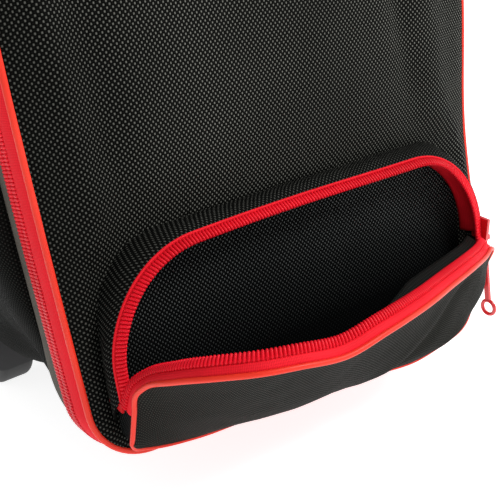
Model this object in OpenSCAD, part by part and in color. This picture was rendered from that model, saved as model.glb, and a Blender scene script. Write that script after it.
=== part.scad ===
// Upright single-ball roller bag in ballistic nylon, with a zipped accessory pocket
// on its front door. Millimetres, +Z up, the front faces -Y, the floor is z = 0.
// The pocket flap is drawn open, leaning forward from its lower edge.

/* [Bag] */
// Width of the bag over its walls
bag_w = 272; // [262:1:290]
// Height of the front door, from piping to piping
bag_h = 425; // [400:1:460]
// Depth from the front door's face to the back
bag_d = 240; // [236:1:260]
// Height of the door's lower piping above the floor
floor_gap = 25; // [22:1:30]
// Radius of the door's corners
door_r = 31; // [24:1:36]
// Radius of the body's corners behind the door frame
body_r = 50; // [40:1:54]
// Thickness of the padded walls
wall = 6; // [5:0.5:7]
// Diameter of the corded piping
piping_d = 5; // [4:0.5:6]

/* [Accessory pocket] */
// Width over the pocket's zip
pocket_w = 250; // [240:1:254]
// Height of the pocket from its fold to its top
pocket_h = 98; // [96:1:110]
// Radius of the pocket's two upper corners
pocket_r = 48; // [38:1:48]
// Radius of the pocket's two lower corners
pocket_low_r = 14; // [10:1:18]
// Depth of the pocket along its lower edge
pocket_base_d = 20; // [18:1:24]
// Lean of the closed flap, which makes the pocket deeper at its top, degrees
lean_closed = 11; // [9:0.5:13]
// Lean of the flap as drawn, degrees
lean_open = 50; // [35:1:70]
// Height above the fold at which the pocket's zip ends
zip_end = 31; // [26:1:36]

/* [Side pockets] */
// How far a side pocket stands out from the wall
side_out = 14; // [10:1:18]
// Depth of a side pocket from front to back
side_l = 80; // [60:1:90]
// Height of a side pocket
side_h = 180; // [140:1:220]

/* [Running gear] */
// Radius of a wheel over its tyre
wheel_r = 35; // [32:1:37]
// Width of a wheel
wheel_w = 24; // [20:1:26]
// Radius of the wheel axles
axle_r = 4; // [3:0.5:5]
// Distance from the middle of the bag to a wheel's middle
wheel_x = 110; // [104:1:112]

/* [Pull handle] */
// Distance from the middle of the bag to a handle tube
tube_x = 55; // [45:1:70]
// Width of the outer handle tube
tube_w = 20; // [19:1:24]
// Depth of the outer handle tube
tube_t = 12; // [12:0.5:14]

/* [Hidden] */
$fn = 48;
e = 0.01;             // overshoot of a cutting shape
gap = 0.4;            // space between parts that move past each other
cup_r = 70;           // radius of the hole in the foam that the ball sits on
skid_d = 6;           // how far the rails on the back stand out
zip_t = 2.4;          // thickness of a closed zip
zip_half = 13.8;      // width of one half of the main zip with its tape
zip_y = 2.6;          // front edge of the main zip
frame_y = 24.5;       // front edge of the padded frame
frame_l = 15;         // length of the square-cornered frame behind the zip
top_z = floor_gap + bag_h;
low_z = floor_gap - 1;
body_h = bag_h + 2;
board_t = 3;
coil_w = 5.5;         // width of one row of zip coil
tape_w = 6.5;         // width of the zip tape beside it
lip = 2;              // thickness of the flap's face
zip_mid = lip + tape_w + coil_w;
fold_y = -pocket_base_d;
fold_z = floor_gap + 6;
house_x = wheel_x - wheel_w / 2 - 8;
house_y = 164;
house_top = floor_gap + 53;
wheel_y = 206;
tube_y = bag_d - 12;
mid_w = tube_w - 3;
mid_t = tube_t - 3;
inner_w = mid_w - 2.6;
inner_t = mid_t - 2.6;
flap_reach = pocket_base_d + pocket_h * sin(lean_open) + (piping_d - 1) / 2;
y_shift = (flap_reach - bag_d - skid_d) / 2;  // puts the middle of the whole depth on y = 0
face_in = piping_d / 2 + 0.1;   // from the middle of the piping to the edge of the door's face
pin_r = 1;            // radius of a slider's pin
pull_ring = 4.6;      // radius of the ring on a pull tag, to the middle of its wire
pull_l = 52;          // length of the pocket's pull tag
pull_x = pocket_w / 2 + 5.4;
pull_y = -13;
pull_z = 66;
main_pull_l = 34;
slider_x = 12;
slider_pin_z = 5.2;
zip_mid_y = zip_y + zip_half + gap / 2;

module place() { translate([0, y_shift, 0]) children(); }
// Upright outline, standing on its lower edge: top radius rt, lower radius rb
module outline(w, h, rt, rb) {
  translate([-w / 2, rb]) square([w, h - rt - rb]);
  translate([-w / 2 + rt, h / 2]) square([w - 2 * rt, h / 2]);
  translate([-w / 2 + rb, 0]) square([w - 2 * rb, h / 2]);
  for (side = [-1, 1]) {
    translate([side * (w / 2 - rt), h - rt]) circle(r = rt);
    translate([side * (w / 2 - rb), rb]) circle(r = rb);
  }
}
module ring(w, h, rt, rb, t) {
  difference() {
    outline(w, h, rt, rb);
    translate([0, t]) outline(w - 2 * t, h - 2 * t, rt - t, rb - t);
  }
}
// Stands an outline up and gives it a depth from y0 to y1
module slab(y0, y1) { translate([0, y1, 0]) rotate([90, 0, 0]) linear_extrude(y1 - y0) children(); }
module block(x0, x1, y0, y1, z0, z1) { translate([x0, y0, z0]) cube([x1 - x0, y1 - y0, z1 - z0]); }
// Closed loop of round cord along an outline, standing on z = 0
module cord_loop(w, h, rt, rb, d) {
  for (side = [-1, 1]) {
    translate([side * w / 2, 0, rb]) cylinder(d = d, h = h - rt - rb);
    translate([side * (w / 2 - rt), 0, h - rt]) corner(rt, d, side > 0 ? 0 : 90);
    translate([side * (w / 2 - rb), 0, rb]) corner(rb, d, side > 0 ? 270 : 180);
  }
  translate([-w / 2 + rt, 0, h]) rotate([0, 90, 0]) cylinder(d = d, h = w - 2 * rt);
  translate([-w / 2 + rb, 0, 0]) rotate([0, 90, 0]) cylinder(d = d, h = w - 2 * rb);
}
module corner(r, d, turn) {
  rotate([90, 0, 0]) rotate([0, 0, turn]) rotate_extrude(angle = 90) translate([r, 0]) circle(d = d);
}
// Frame of the flap: x across, z up along its face, +y towards the bag
module flap_frame(lean) { translate([0, fold_y, fold_z]) rotate([lean, 0, 0]) children(); }
module pocket_outline() { outline(pocket_w, pocket_h, pocket_r, pocket_low_r); }
module pocket_ring(t) { ring(pocket_w, pocket_h, pocket_r, pocket_low_r, t); }
module above_zip_end() { block(-200, 200, -10, 80, zip_end + gap, 200); }

// ---- body ----
module wheel_notch(side) {
  block(side > 0 ? house_x - gap : -200, side > 0 ? 200 : -house_x + gap,
        house_y - gap, 300, -10, house_top + gap);
}
module body_gusset() {
  color("#202124") difference() {
    union() {
      slab(frame_y + frame_l - 1, bag_d - 4) translate([0, low_z])
        ring(bag_w, body_h, body_r, body_r, wall);
      slab(frame_y, frame_y + frame_l) translate([0, low_z])
        ring(bag_w, body_h, door_r, door_r, wall + 4);
    }
    for (side = [-1, 1]) {
      wheel_notch(side);
      translate([side * tube_x, tube_y, top_z]) cube([mid_w + 1, mid_t + 1, 40], center = true);
      foot_at(side) cylinder(r = 2.5, h = 60);
    }
  }
}
module back_panel() {
  color("#1c1d20") difference() {
    slab(bag_d - 4, bag_d) translate([0, low_z]) outline(bag_w, body_h, body_r, body_r);
    for (side = [-1, 1]) wheel_notch(side);
  }
}
module rear_piping() {
  color("#d3121c") difference() {
    translate([0, bag_d - 2, low_z]) cord_loop(bag_w + 1, body_h, body_r, body_r, piping_d - 1);
    for (side = [-1, 1]) wheel_notch(side);
    block(-bag_w / 2 + e, bag_w / 2 - e, 0, bag_d + 9, low_z + body_r, low_z + body_h - body_r);
    slab(bag_d - 10, bag_d + 10) translate([0, low_z]) outline(bag_w, body_h, body_r, body_r);
  }
}
module base_board() {
  color("#3a3a3c") difference() {
    block(-85, 85, 40, bag_d - 25, low_z + wall, low_z + wall + board_t);
    for (side = [-1, 1]) foot_at(side) cylinder(r = 2.5, h = 60);
  }
}
module ball_cup() {
  cup_z = low_z + wall + board_t;
  color("#46474b") difference() {
    block(-84, 84, 42, bag_d - 24, cup_z, cup_z + 50);
    translate([0, bag_d / 2, cup_z - 1]) cylinder(r = cup_r, h = 60);
  }
}
module shoe_shelf() { color("#2b2c2f") block(-129, 129, 42, bag_d - 20, 272, 278); }

// ---- door closure ----
module hinge_side() { block(60, 200, 0, 40, floor_gap + 40, top_z - 40); }
module main_zip_rear() {
  color("#d3121c") difference() {
    slab(zip_y + zip_half + gap, frame_y) translate([0, low_z])
      ring(bag_w, body_h, door_r, door_r, zip_t);
    hinge_side();
  }
}
module main_zip_front() {
  color("#d3121c") difference() {
    slab(zip_y, zip_y + zip_half) translate([0, low_z])
      ring(bag_w, body_h, door_r, door_r, zip_t);
    hinge_side();
  }
}
module hinge_tape() {
  color("#202124") block(bag_w / 2 - zip_t, bag_w / 2, zip_y + zip_half + gap, frame_y,
                         floor_gap + 41, top_z - 41);
}

// ---- side pockets ----
module side_shell(side) {
  wall_x = bag_w / 2;
  z0 = floor_gap + 28;
  mirror([side > 0 ? 0 : 1, 0, 0]) difference() {
    block(wall_x, wall_x + side_out, 32, 32 + side_l, z0, z0 + side_h);
    block(wall_x - 1, wall_x + side_out - 2.5, 34.5, 29.5 + side_l, z0 + 3, z0 + side_h + 1);
  }
}
module side_pocket_left() { color("#242528") side_shell(-1); }
module side_pocket_right() { color("#242528") side_shell(1); }
module side_pocket_bindings() {
  color("#0e0e10") for (side = [0, 1]) mirror([side, 0, 0])
    translate([0, 0, floor_gap + 28 + side_h]) difference() {
      block(bag_w / 2, bag_w / 2 + side_out, 32, 32 + side_l, 0, 6);
      block(bag_w / 2 - 1, bag_w / 2 + side_out - 2.5, 34.5, 29.5 + side_l, -1, 7);
    }
}

// ---- running gear ----
module along_x(x0, x1, r) { translate([x0, wheel_y, wheel_r]) rotate([0, 90, 0]) cylinder(r = r, h = x1 - x0); }
module housing(side) {
  inner = wheel_x - wheel_w / 2 - 2;
  outer = wheel_x + wheel_w / 2 + 2;
  mirror([side > 0 ? 0 : 1, 0, 0]) difference() {
    intersection() {
      block(house_x, bag_w / 2 - 1, house_y, bag_d + 3, low_z - 2, house_top);
      slab(house_y, bag_d + 3) translate([0, low_z - 2]) outline(bag_w - 2, body_h, 20, 16);
    }
    along_x(inner, outer, wheel_r + 3);
    along_x(house_x - 1, bag_w, axle_r);
  }
}
module wheel_housing_left() { color("#18181a") housing(-1); }
module wheel_housing_right() { color("#18181a") housing(1); }
module axles() { color("#b9bcc2") for (side = [0, 1]) mirror([side, 0, 0]) along_x(house_x + 0.5, bag_w / 2 - 3, axle_r); }
module wheel_part(side, r0, r1, w) {
  mirror([side > 0 ? 0 : 1, 0, 0]) difference() {
    along_x(wheel_x - w / 2, wheel_x + w / 2, r1);
    along_x(wheel_x - w, wheel_x + w, r0);
  }
}
module tyre(side) {
  mirror([side > 0 ? 0 : 1, 0, 0]) translate([wheel_x, wheel_y, wheel_r]) rotate([0, 90, 0])
    rotate_extrude($fn = 96) translate([22, -wheel_w / 2]) {
      square([wheel_r - 22 - 5, wheel_w]);
      translate([0, 5]) square([wheel_r - 22, wheel_w - 10]);
      for (z = [5, wheel_w - 5]) translate([wheel_r - 22 - 5, z]) circle(r = 5);
    }
}
module wheel_hub_left() { color("#d0d2d6") wheel_part(-1, 9, 22, wheel_w - 4); }
module wheel_hub_right() { color("#d0d2d6") wheel_part(1, 9, 22, wheel_w - 4); }
module wheel_bearings_left() { color("#9a9da3") wheel_part(-1, axle_r + 0.05, 9, wheel_w - 2); }
module wheel_bearings_right() { color("#9a9da3") wheel_part(1, axle_r + 0.05, 9, wheel_w - 2); }
module wheel_tyre_left() { color("#141416") tyre(-1); }
module wheel_tyre_right() { color("#141416") tyre(1); }
module foot_at(side) { translate([side * 70, 62, 0]) children(); }
module front_feet() {
  color("#18181a") for (side = [-1, 1]) foot_at(side) difference() {
    union() {
      cylinder(r = 13, h = 4);
      translate([0, 0, 3]) cylinder(r = 15, h = low_z - 3);
    }
    translate([0, 0, -e]) cylinder(r = 6, h = 6);
    cylinder(r = 2.5, h = 60);
  }
}
module foot_screws() {
  color("#b9bcc2") for (side = [-1, 1]) foot_at(side) {
    translate([0, 0, 3]) cylinder(r = 4.5, h = 3 - e);
    translate([0, 0, 5]) cylinder(r = 2.5, h = low_z + wall + board_t - 5);
  }
}

// ---- back ----
module back_skids() {
  color("#18181a") for (side = [-1, 1]) difference() {
    translate([side * 100, 0, 130]) slab(bag_d, bag_d + skid_d) outline(12, 240, 5.9, 5.9);
    skid_rivet_holes(side);
  }
}
module skid_rivet_holes(side) {
  for (z = [145, 250, 355]) translate([side * 100, bag_d - 3, z]) rotate([-90, 0, 0]) {
    translate([0, 0, 6]) cylinder(r = 4, h = 5);
    cylinder(r = 2, h = 10);
  }
}
module skid_rivets() {
  color("#8a8d93") for (side = [-1, 1], z = [145, 250, 355])
    translate([side * 100, bag_d, z]) rotate([-90, 0, 0]) {
      translate([0, 0, 3]) cylinder(r = 3.6, h = 1.6);
      translate([0, 0, 0]) cylinder(r = 2, h = 4);
    }
}

// ---- pull handle ----
module tube(w, t, inner_w, inner_t, z0, z1) {
  for (side = [-1, 1]) translate([side * tube_x, tube_y, 0]) difference() {
    translate([-w / 2, -t / 2, z0]) cube([w, t, z1 - z0]);
    translate([-inner_w / 2, -inner_t / 2, z0 - 1]) cube([inner_w, inner_t, z1 - z0 + 2]);
  }
}
module handle_tubes_outer() {
  color("#9b9ea4") tube(tube_w, tube_t, mid_w + 0.6, mid_t + 0.6, low_z + 16, top_z - wall + 1 - gap);
}
module handle_tubes_mid() { color("#b4b7bc") tube(mid_w, mid_t, inner_w + 0.6, inner_t + 0.6, 56, top_z + 11); }
module handle_tubes_inner() {
  color("#c4c7cc") for (side = [-1, 1]) translate([side * tube_x, tube_y, 0])
    translate([-inner_w / 2, -inner_t / 2, 66]) cube([inner_w, inner_t, top_z + 18 - 66]);
}
module handle_collars() {
  color("#18181a") for (side = [-1, 1]) translate([side * tube_x, tube_y, top_z + 11]) difference() {
    translate([-mid_w / 2 - 1, -mid_t / 2 - 1, 0]) cube([mid_w + 2, mid_t + 2, 3]);
    translate([-inner_w / 2 - 0.3, -inner_t / 2 - 0.3, -1]) cube([inner_w + 0.6, inner_t + 0.6, 6]);
  }
}
module bezel_screw_at() {
  for (side = [-1, 1]) translate([side * 82, tube_y - 2, top_z + 1]) children();
}
module handle_bezel() {
  color("#18181a") difference() {
    translate([0, tube_y - 2, top_z + 1]) linear_extrude(8) translate([0, -17])
      outline(184, 26, 10, 10);
    for (side = [-1, 1]) translate([side * tube_x, tube_y, top_z])
      cube([mid_w + 0.8, mid_t + 0.8, 40], center = true);
    bezel_screw_at() { translate([0, 0, -1]) cylinder(r = 2, h = 20); translate([0, 0, 5]) cylinder(r = 4, h = 9); }
  }
}
module bezel_screws() {
  color("#b9bcc2") bezel_screw_at() { cylinder(r = 2, h = 6); translate([0, 0, 5]) cylinder(r = 3.6, h = 2); }
}
module handle_bracket() {
  color("#9b9ea4") difference() {
    block(-78, 78, tube_y - 11, tube_y + 7, low_z + wall, low_z + 16);
    bracket_rivet_at() cylinder(r = 2, h = 20);
  }
}
module bracket_rivet_at() {
  for (side = [-1, 1]) translate([side * 30, tube_y - 2, low_z + wall]) children();
}
module bracket_rivets() {
  color("#8a8d93") bracket_rivet_at() { cylinder(r = 2, h = 10); translate([0, 0, 10]) cylinder(r = 4, h = 1.5); }
}
module handle_grip() {
  color("#18181a") difference() {
    translate([0, tube_y - 11, top_z + 16]) slab(0, 22) outline(150, 24, 9, 6);
    block(-18, 18, tube_y - 6, tube_y + 6, top_z + 30, top_z + 50);
    for (side = [-1, 1]) translate([side * tube_x, tube_y, top_z + 10])
      cube([inner_w, inner_t, 16], center = true);
  }
}
module handle_button() {
  color("#5a5c61") translate([0, tube_y, top_z + 34]) linear_extrude(8) translate([0, -5.5])
    outline(35, 11, 4, 4);
}
module carry_handle() {
  color("#1c1d20") translate([0, 90, top_z + 4]) slab(0, 30) intersection() {
    translate([-85, 0]) square([170, 30]);
    difference() {
      translate([0, -30]) outline(170, 60, 22, 1);
      translate([0, -34]) outline(162, 60, 18, 1);
    }
  }
}
module handle_patches() {
  color("#151517") for (side = [-1, 1]) translate([side * 83, 105, top_z + 1])
    linear_extrude(3) translate([0, -19]) outline(34, 38, 4, 4);
}

// ---- door ----
module front_panel() {
  color("#1f2023") slab(-3, 2.2) translate([0, floor_gap + face_in])
    outline(bag_w - 2 - 2 * face_in, bag_h - 2 * face_in, door_r - 1 - face_in, door_r - 1 - face_in);
}
module front_board() {
  color("#3a3a3c") slab(2.2, 6) translate([0, floor_gap + 6])
    outline(bag_w - 16, bag_h - 12, door_r - 8, door_r - 8);
}
module front_piping() {
  color("#e01522") translate([0, 0, floor_gap])
    cord_loop(bag_w - 2, bag_h, door_r - 1, door_r - 1, piping_d);
}

// ---- accessory pocket ----
module pocket_band() {
  color("#202124") difference() {
    slab(-40, -3) translate([0, fold_z]) difference() {
      outline(pocket_w - 1, pocket_h, pocket_r, pocket_low_r);
      translate([0, 3]) outline(pocket_w - 7, pocket_h - 6, pocket_r - 3, pocket_low_r - 3);
      translate([-200, -10]) square([400, zip_end + 10 + gap]);
    }
    flap_frame(lean_closed) block(-200, 200, -80, zip_mid + gap + coil_w + tape_w, -20, 200);
  }
}
module pocket_zip_upper() {
  color("#d3121c") difference() {
    flap_frame(lean_closed) intersection() {
      slab(zip_mid + gap, zip_mid + gap + coil_w + tape_w) pocket_ring(3);
      above_zip_end();
    }
    block(-200, 200, -3, 60, 0, 200);
  }
}
module pocket_gusset() {
  color("#17181a") difference() {
    flap_frame(lean_closed) difference() {
      slab(lip + 0.6, 40) pocket_ring(3);
      above_zip_end();
      block(-200, 200, -10, 80, zip_end, 60);
    }
    block(-200, 200, -3, 60, 0, 200);
  }
}
module zip_stops() {
  color("#b31018") flap_frame(lean_closed) for (side = [-1, 1])
    translate([side * (pocket_w / 2 + 0.6), zip_mid, zip_end - 2.5])
      cube([1.2, 12, 4], center = true);
}
module pocket_front() {
  color("#1f2023") flap_frame(lean_open) slab(0, lip) pocket_outline();
}
module pocket_piping() {
  color("#e01522") flap_frame(lean_open) difference() {
    cord_loop(pocket_w, pocket_h, pocket_r, pocket_low_r, piping_d - 1);
    slab(0, 9) translate([0, -5]) outline(pocket_w + 10, pocket_h + 10, pocket_r, pocket_low_r);
  }
}
module pocket_zip_lower() {
  color("#d3121c") flap_frame(lean_open) intersection() {
    slab(lip, zip_mid) pocket_ring(3);
    above_zip_end();
  }
}
// Eye that turns on a slider's pin, which runs along y
module eye() {
  rotate([90, 0, 0]) difference() {
    cylinder(r = 2.4, h = 4, center = true);
    cylinder(r = pin_r + 0.06, h = 6, center = true);
  }
}
// Two lugs and the pin between them, at the origin, standing on a plate that lies towards -x
module pin_and_lugs(reach) {
  rotate([90, 0, 0]) cylinder(r = pin_r, h = 7, center = true);
  for (side = [-1, 1]) translate([-reach / 2 + 0.6, side * 3, 0])
    cube([reach + 1.2, 1.4, 2.8], center = true);
}
// Pull tag hanging along -z from the pin: eye, flat stem and a ring at its end
module pull(length) {
  difference() {
    union() {
      rotate([90, 0, 0]) cylinder(r = 2.4, h = 4, center = true);
      translate([-0.9, -1.7, -length + 2 * pull_ring]) cube([1.8, 3.4, length - 2 * pull_ring - 1.8]);
    }
    rotate([90, 0, 0]) cylinder(r = pin_r + 0.06, h = 6, center = true);
  }
  translate([0, 0, -length + pull_ring]) rotate([0, 90, 0])
    rotate_extrude() translate([pull_ring, 0]) circle(r = 1.2, $fn = 24);
}
// The pocket's slider waits at the right-hand end of its zip
module pocket_slider() {
  color("#d3121c") {
    flap_frame(lean_closed) translate([pocket_w / 2, zip_mid, zip_end + 2])
      block(gap, 2.4, -6, 6, 0, 14);
    translate([pull_x, pull_y, pull_z]) pin_and_lugs(pull_x - pocket_w / 2 - 1.8);
  }
}
module pocket_pull() { color("#e01522") translate([pull_x, pull_y, pull_z]) pull(pull_l); }

// ---- main zip sliders ----
module main_slider(side) {
  color("#d3121c") translate([side * slider_x, zip_mid_y, low_z + body_h]) {
    block(-8, 8, -6.5, 6.5, gap, 2.4);
    translate([0, 0, slider_pin_z]) rotate([0, -90, 0]) pin_and_lugs(slider_pin_z - 1.8);
  }
}
module main_pull(side) {
  color("#e01522") translate([side * slider_x, zip_mid_y, low_z + body_h + slider_pin_z])
    rotate([0, side > 0 ? -90 : 90, 0]) pull(main_pull_l);
}
module main_slider_left() { main_slider(-1); }
module main_slider_right() { main_slider(1); }
module main_pull_left() { main_pull(-1); }
module main_pull_right() { main_pull(1); }

place() body_gusset();
place() back_panel();
place() rear_piping();
place() base_board();
place() ball_cup();
place() shoe_shelf();
place() main_zip_rear();
place() hinge_tape();
place() side_pocket_left();
place() side_pocket_right();
place() side_pocket_bindings();
place() wheel_housing_left();
place() wheel_housing_right();
place() axles();
place() front_feet();
place() foot_screws();
place() back_skids();
place() skid_rivets();
place() handle_tubes_outer();
place() handle_bezel();
place() bezel_screws();
place() handle_bracket();
place() bracket_rivets();
place() carry_handle();
place() handle_patches();
place() front_panel();
place() front_board();
place() front_piping();
place() main_zip_front();
place() pocket_band();
place() pocket_zip_upper();
place() pocket_gusset();
place() zip_stops();
place() pocket_front();
place() pocket_piping();
place() pocket_zip_lower();
place() pocket_slider();
place() pocket_pull();
place() main_slider_left();
place() main_slider_right();
place() main_pull_left();
place() main_pull_right();
place() handle_tubes_mid();
place() handle_collars();
place() handle_tubes_inner();
place() handle_grip();
place() handle_button();
place() wheel_hub_left();
place() wheel_bearings_left();
place() wheel_tyre_left();
place() wheel_hub_right();
place() wheel_bearings_right();
place() wheel_tyre_right();
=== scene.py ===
"""Looks of an upright single-ball roller bag in ballistic nylon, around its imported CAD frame.

Lengths are millimetres in the bag's own axes: x across, y back from the door's piping, z up from
the floor. at() and to_frame() turn them into the frame's metres. Shapes are lofted from rows of
points, and every fabric has a UV map in metres, so that weaves and ribs keep their real size.
"""
import math

import bmesh
import bpy
import numpy as np
from mathutils import Matrix, Vector, noise


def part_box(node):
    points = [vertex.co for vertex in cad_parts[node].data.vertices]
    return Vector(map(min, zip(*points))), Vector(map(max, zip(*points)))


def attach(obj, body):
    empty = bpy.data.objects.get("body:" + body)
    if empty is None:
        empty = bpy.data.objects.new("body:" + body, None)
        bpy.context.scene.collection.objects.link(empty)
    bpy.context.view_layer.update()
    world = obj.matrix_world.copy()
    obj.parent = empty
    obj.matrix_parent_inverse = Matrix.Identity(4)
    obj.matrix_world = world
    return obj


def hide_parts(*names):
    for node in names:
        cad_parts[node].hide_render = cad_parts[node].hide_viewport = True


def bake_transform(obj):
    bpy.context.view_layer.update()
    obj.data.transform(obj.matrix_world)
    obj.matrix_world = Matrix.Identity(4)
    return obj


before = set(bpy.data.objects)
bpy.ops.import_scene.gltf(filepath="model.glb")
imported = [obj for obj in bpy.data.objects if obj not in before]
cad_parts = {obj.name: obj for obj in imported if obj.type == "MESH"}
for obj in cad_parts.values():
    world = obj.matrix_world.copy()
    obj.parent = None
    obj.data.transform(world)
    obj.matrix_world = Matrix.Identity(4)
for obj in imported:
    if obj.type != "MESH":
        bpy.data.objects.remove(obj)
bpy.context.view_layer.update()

MM = 0.001

# ---------------------------------------------------------------- measures taken from the frame


def node_box(name):
    """Lowest and highest corner of a CAD node in the bag's own millimetres."""
    low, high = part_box(name)
    return (np.array([low[0], low[1] - FRONT_Y, low[2]]) / MM,
            np.array([high[0], high[1] - FRONT_Y, high[2]]) / MM)


piping_low, piping_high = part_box("front_piping")
FRONT_Y = (piping_low[1] + piping_high[1]) / 2
PIPING_R = (piping_high[1] - piping_low[1]) / 2 / MM
CORD_R = 1.75             # radius of the piping as it shows past its seam
DOOR_W = (piping_high[0] - piping_low[0]) / MM - 2 * PIPING_R
DOOR_Z0 = piping_low[2] / MM + PIPING_R
DOOR_Z1 = piping_high[2] / MM - PIPING_R
DOOR_R = 31.0             # the corners of the door
BODY_R = 54.0             # the corners of the body at its back
SLUMP_R = 80.0            # the lower corners in front of the wheels, where they slump inward
BULGE = 4.5               # how far the soft sides belly out at mid height
# The right side is drawn in beside the pocket: its height, how far up and down that reaches, and
# how much of the bulge it takes.
PINCH_Z, PINCH_SPREAD, PINCH = DOOR_Z0 + 112, 54.0, 1.35
wall_low, wall_high = node_box("body_gusset")
BODY_W = wall_high[0] - wall_low[0]
FRAME_Y0, FRAME_Y1 = node_box("main_zip_rear")[1][1], 40.0   # depths of the padded frame
BACK_Y = node_box("back_panel")[1][1]
COIL = 5.5                # width of one row of the main zip's coil
TOOTH_STEP = 1.82         # coil pitch
TURN = 2 * math.pi
WEAVE = (1.26, 1.38)      # pitch of the basket weave, across and up


def at(x, y, z):
    """A point of the bag in the frame's metres."""
    return Vector((x * MM, y * MM + FRONT_Y, z * MM))


def to_frame(points):
    """An array of points in the bag's millimetres, in the frame's metres."""
    return np.asarray(points, float) * MM + np.array([0.0, FRONT_Y, 0.0])

# ---------------------------------------------------------------- materials


class Nodes:
    """Short names for building one node material."""

    def __init__(self, name):
        self.mat = bpy.data.materials.new(name)
        self.mat.use_nodes = True
        self.tree = self.mat.node_tree

    def add(self, kind, **values):
        node = self.tree.nodes.new("ShaderNode" + kind)
        for key, value in values.items():
            setattr(node, key, value)
        return node

    def put(self, value, socket):
        """Sets a socket to a number or colour, or links an output to it."""
        if isinstance(value, (int, float)):
            socket.default_value = value
        elif isinstance(value, tuple):
            socket.default_value = (*value, 1.0)
        else:
            self.tree.links.new(value, socket)

    def fill(self, node, **values):
        """Puts values into a node's inputs by name, with _ for a space."""
        for key, value in values.items():
            self.put(value, node.inputs[key.replace("_", " ")])
        return node

    def math(self, op, *values):
        node = self.add("Math", operation=op)
        for socket, value in zip(node.inputs, values):
            self.put(value, socket)
        return node.outputs[0]

    def plus(self, a, b):
        return self.math("ADD", a, b)

    def minus(self, a, b):
        return self.math("SUBTRACT", a, b)

    def times(self, a, b):
        return self.math("MULTIPLY", a, b)

    def uv(self):
        """u and v of the piece's UV map, in metres."""
        where = self.add("UVMap", uv_map="cloth").outputs[0]
        return self.fill(self.add("SeparateXYZ"), Vector=where).outputs[:2]

    def noise(self, scale, detail=2.0, rough=0.5):
        place = self.add("TexCoord").outputs["Object"]
        return self.fill(self.add("TexNoise"), Scale=scale, Detail=detail, Roughness=rough,
                         Vector=place).outputs["Fac"]

    def ramp(self, factor, stops):
        node = self.add("ValToRGB")
        ramp = node.color_ramp
        while len(ramp.elements) < len(stops):
            ramp.elements.new(0.5)
        for element, (pos, color) in zip(ramp.elements, stops):
            element.position = pos
            element.color = (*color, 1.0)
        self.put(factor, node.inputs[0])
        return node.outputs[0]

    def mix(self, factor, a, b):
        node = self.add("Mix", data_type="RGBA")
        for place, value in ((0, factor), (6, a), (7, b)):     # 6 and 7 are the two colours
            self.put(value, node.inputs[place])
        return node.outputs[2]

    def bump(self, height, distance, strength):
        return self.fill(self.add("Bump"), Strength=strength, Distance=distance,
                         Height=height).outputs[0]

    def finish(self, color, rough, **values):
        self.fill(self.tree.nodes["Principled BSDF"], Base_Color=color, Roughness=rough, **values)
        return self.mat


CROWN_SHARPNESS = 2.9     # how narrow the painted highlight on a yarn's crown is
ODD_CELLS = 0.03          # how much of the painted crown highlight the cells take whose yarn runs across


def basket_weave(name, dark, crown, pitch=WEAVE, depth=0.0003, rough=0.5, spec=0.03,
                 shade=None, painted_shade_across=None):
    """Ballistic nylon: cells whose yarn runs up in one and across in the next. crown is the colour
    of a painted highlight on the yarns' crowns, the upright ones catching most of it. pitch is a
    cell's width and height in millimetres. shade is a pair of heights between which painted shade
    on the yarn gives way to lit yarn, and the list of (u, brightness) after it paints shade from
    side to side."""
    n = Nodes(name)
    u, v = n.uv()
    painted_light = 1.0
    # This factor paints shade onto the weave: low inside the pocket, and across the piece.
    if shade:
        rise = n.math("DIVIDE", n.minus(v, shade[0] * MM), (shade[1] - shade[0]) * MM)
        painted_light = n.math("MAXIMUM", 0.06, n.math("MINIMUM", rise, 1.0))
    u = n.math("DIVIDE", u, pitch[0] * MM)
    v = n.math("DIVIDE", v, pitch[1] * MM)
    patch = n.noise(11.0, 3.0)
    odd = n.math("FLOORED_MODULO", n.plus(n.math("FLOOR", u), n.math("FLOOR", v)), 2.0)
    even = n.minus(1.0, odd)
    du = n.math("ABSOLUTE", n.minus(n.math("FRACT", u), 0.5))
    dv = n.math("ABSOLUTE", n.minus(n.math("FRACT", v), 0.5))
    along = n.plus(n.times(dv, even), n.times(du, odd))
    across = n.plus(n.times(du, even), n.times(dv, odd))
    round_yarn = n.minus(1.0, n.math("POWER", n.times(across, 2.0), 2.0))
    ends = n.minus(1.0, n.math("POWER", n.times(along, 1.9), 3.0))
    height = n.times(n.math("MAXIMUM", round_yarn, 0.0), n.math("MAXIMUM", ends, 0.0))
    cells = n.plus(ODD_CELLS, n.times(even, 1.0 - ODD_CELLS))
    lit = n.times(n.math("POWER", height, CROWN_SHARPNESS), cells)
    lit = n.times(lit, n.plus(0.6, n.times(patch, 0.8)))
    # This list of (u, brightness) paints shade across the piece, darker where less light falls.
    if painted_shade_across:
        first, wide = painted_shade_across[0][0], painted_shade_across[-1][0] - painted_shade_across[0][0]
        place = n.math("DIVIDE", n.minus(n.uv()[0], first * MM), wide * MM)
        stops = [((x - first) / wide, (level,) * 3) for x, level in painted_shade_across]
        painted_light = n.times(painted_light, n.ramp(place, stops))
    # The crowns' lighter colour is a painted highlight, scaled down here by painted shade.
    color = n.mix(n.times(lit, painted_light), dark, crown)
    roughness = n.minus(rough + 0.2, n.times(lit, 0.25))
    return n.finish(color, roughness, Normal=n.bump(height, depth, 0.7),
                    Specular_IOR_Level=spec)


def ribbed_cloth(name, dark, light, pitch=0.9, rough=0.65, depth=0.0002, spec=0.15):
    """Webbing or binding with fine ribs across its length and small weaving noise."""
    n = Nodes(name)
    u, v = n.uv()
    ribs = n.math("SINE", n.times(u, TURN / (pitch * MM)))
    cords = n.math("SINE", n.times(v, TURN / (pitch * 1.6 * MM)))
    height = n.plus(n.plus(n.times(ribs, 0.35), n.times(cords, 0.15)), 0.5)
    level = n.times(height, n.plus(0.4, n.times(n.noise(60.0, 4.0, 0.6), 1.1)))
    color = n.mix(n.math("MINIMUM", level, 1.0), dark, light)
    return n.finish(color, rough, Normal=n.bump(height, depth, 0.7), Specular_IOR_Level=spec)


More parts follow.
